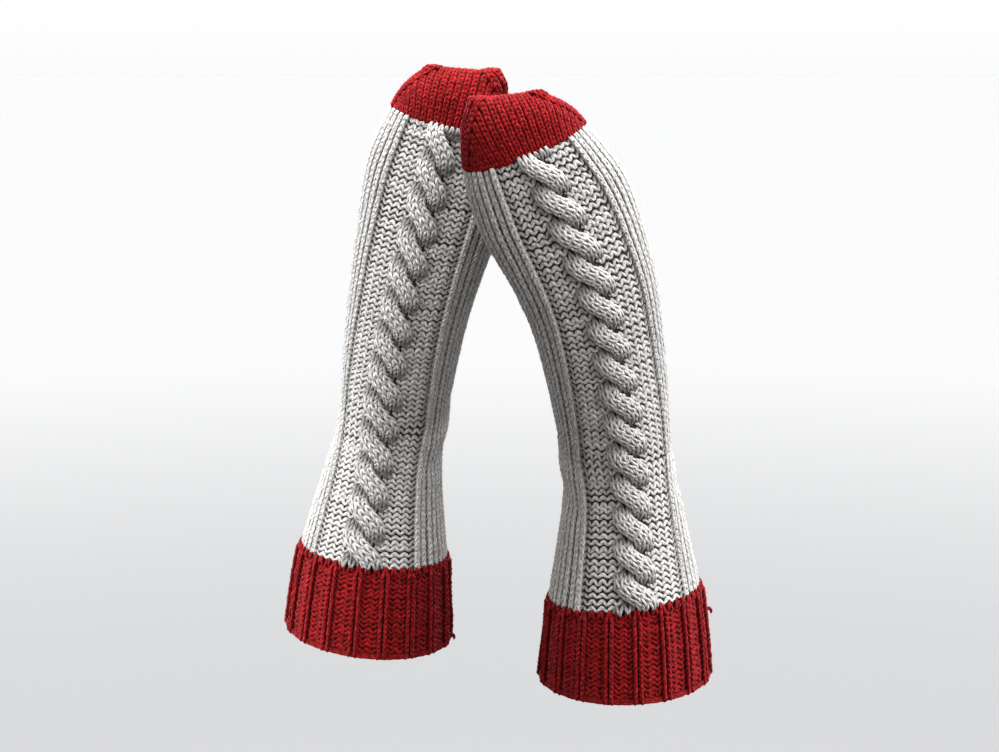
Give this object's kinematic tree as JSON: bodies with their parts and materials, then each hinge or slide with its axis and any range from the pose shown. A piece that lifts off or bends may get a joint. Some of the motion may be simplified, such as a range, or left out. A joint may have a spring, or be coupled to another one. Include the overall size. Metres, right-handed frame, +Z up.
{
  "type": "pair of cable-knit bed socks, worn form",
  "caption": "Pair of calf-high cable-knit bed socks filled out as worn with the toes up, grey marl with a ribbed red cuff and red toe cap on each, open and hollow.",
  "frame": {"origin": "midway between the two legs that hold the socks up, at the height of the lower cuff's open edge at its front", "axes": "+Z up the legs to the toes, -Y the way the insteps face, +X to the sock on the right as seen from the front"},
  "size_m": [0.2767, 0.1927, 0.3888],
  "materials": {
    "red_knit": "matte crimson wool",
    "grey_knit": "matte light grey marled wool"
  },
  "bodies": {
    "root": {"left_cuff": "red_knit", "left_leg": "grey_knit", "left_heel": "grey_knit", "left_foot": "grey_knit", "left_toe": "red_knit", "right_cuff": "red_knit", "right_leg": "grey_knit", "right_heel": "grey_knit", "right_foot": "grey_knit", "right_toe": "red_knit"}
  },
  "joints": []
}
